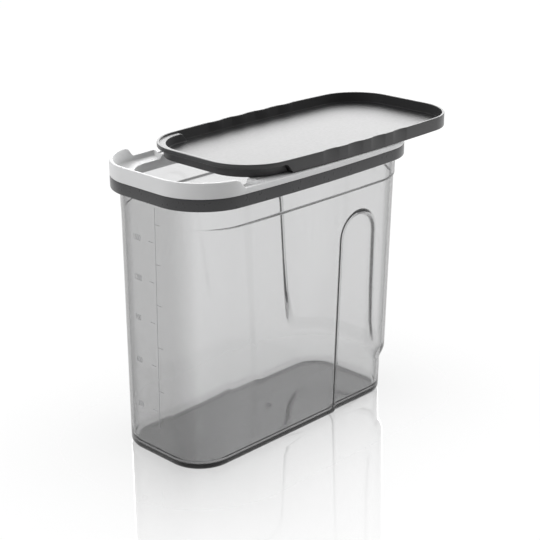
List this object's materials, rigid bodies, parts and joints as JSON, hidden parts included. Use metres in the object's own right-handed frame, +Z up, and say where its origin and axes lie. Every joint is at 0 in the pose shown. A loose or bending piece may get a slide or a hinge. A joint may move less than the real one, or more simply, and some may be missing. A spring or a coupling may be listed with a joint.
{
  "type": "dry-food keeper with sliding lid",
  "caption": "Tall clear keeper for cereal with finger grips, a pouring collar that lifts off, and a tray-shaped lid that slides back to uncover the spout.",
  "frame": {"origin": "on the flat base, under the middle of the collar", "axes": "+Z up, -X towards the pouring lip, Y across the keeper; the lid stands open, slid back towards +X"},
  "size_m": [0.2231, 0.0976, 0.1746],
  "materials": {
    "smoke_clear": "clear smoke-grey plastic, polished",
    "dark_band": "satin dark grey plastic",
    "light_grey": "satin light grey plastic",
    "soft_seal": "soft translucent silicone",
    "dark_lid": "satin near-black plastic, finely textured tray"
  },
  "bodies": {
    "container": {"body_shell": "smoke_clear"},
    "collar": {"pour_collar": "light_grey", "rim_band": "dark_band", "collar_seal": "soft_seal"},
    "lid": {"slide_lid": "dark_lid"}
  },
  "joints": [
    {"name": "collar_lift", "type": "slide", "parent": "container", "child": "collar", "axis": [0, 0, 1], "range_m": [0, 0.04]},
    {"name": "lid_slide", "type": "slide", "parent": "collar", "child": "lid", "axis": [1, 0, 0], "range_m": [-0.0368, 0]}
  ]
}
